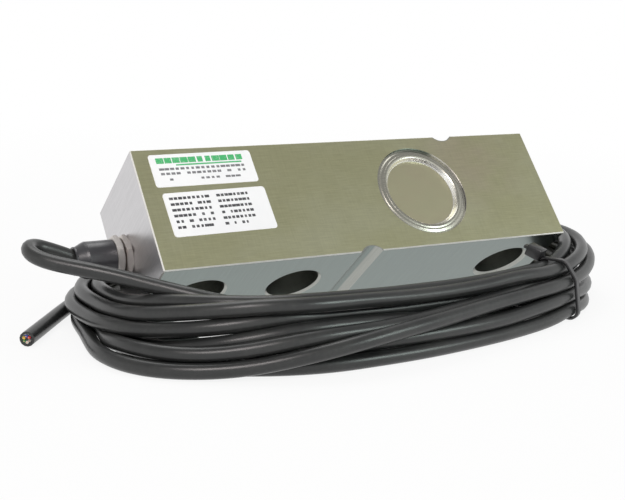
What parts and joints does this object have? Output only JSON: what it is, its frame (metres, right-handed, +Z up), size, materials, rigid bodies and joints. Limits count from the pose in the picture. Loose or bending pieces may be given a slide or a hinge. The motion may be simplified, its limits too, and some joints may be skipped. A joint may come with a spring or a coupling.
{
  "type": "shear beam load cell",
  "caption": "Shear beam load cell: rectangular metal beam with mounting bores, a load bore, covered gauge pockets and a cable gland, lying in its coiled and tied cable.",
  "frame": {"origin": "on the ground, under the middle of the rigid cell (beam, gland and sleeve), which lies on one long edge; the cable isn't counted", "axes": "+X along the beam from the cable end to the load end, +Z up, +Y towards the back; the beam is rolled 42 degrees about X, so its label face looks forwards and up and its loading face backwards and up"},
  "size_m": [0.2374, 0.1231, 0.0632],
  "materials": {
    "beam_steel": "plated steel, satin, with fine grain and light handling marks",
    "cover_steel": "pressed plated steel, satin",
    "gland_metal": "nickel plated brass, bright",
    "seal_rubber": "black rubber, matt",
    "washer_plastic": "natural nylon",
    "sleeve_plastic": "black shrunk polyolefin, semi-gloss",
    "cable_jacket": "dark grey jacket, low sheen",
    "tie_nylon": "black nylon, semi-gloss",
    "shield_braid": "tinned braid",
    "copper": "bare stranded copper",
    "core_red": "red insulation",
    "core_blue": "blue insulation",
    "core_yellow": "yellow insulation",
    "core_green": "green insulation",
    "core_white": "white insulation",
    "core_grey": "grey insulation",
    "label_film": "white printed film, satin",
    "gauge_film": "amber carrier film with foil grids",
    "board_laminate": "green laminate",
    "resistor_body": "dark fired body",
    "wire_insulation": "light wire insulation"
  },
  "bodies": {
    "root": {"beam_body": "beam_steel", "front_pocket_cover": "cover_steel", "rear_pocket_cover": "cover_steel", "front_strain_gauge": "gauge_film", "rear_strain_gauge": "gauge_film", "terminal_board": "board_laminate", "trim_resistors": "resistor_body", "jumper_wires": "wire_insulation", "link_wires": "wire_insulation", "channel_wires": "wire_insulation", "gland_body": "gland_metal", "gland_nut": "gland_metal", "gland_ring": "seal_rubber", "gland_seal": "seal_rubber", "gland_washer": "washer_plastic", "relief_sleeve": "sleeve_plastic", "entry_cable": "cable_jacket", "cable_lead": "cable_jacket", "cable_coil": "cable_jacket", "cable_tail": "cable_jacket", "cable_tie": "tie_nylon", "cable_shield": "shield_braid", "core_conductors": "copper", "upper_label": "label_film", "lower_label": "label_film", "core_red": "core_red", "core_blue": "core_blue", "core_yellow": "core_yellow", "core_green": "core_green", "core_white": "core_white", "core_grey": "core_grey"}
  },
  "joints": []
}
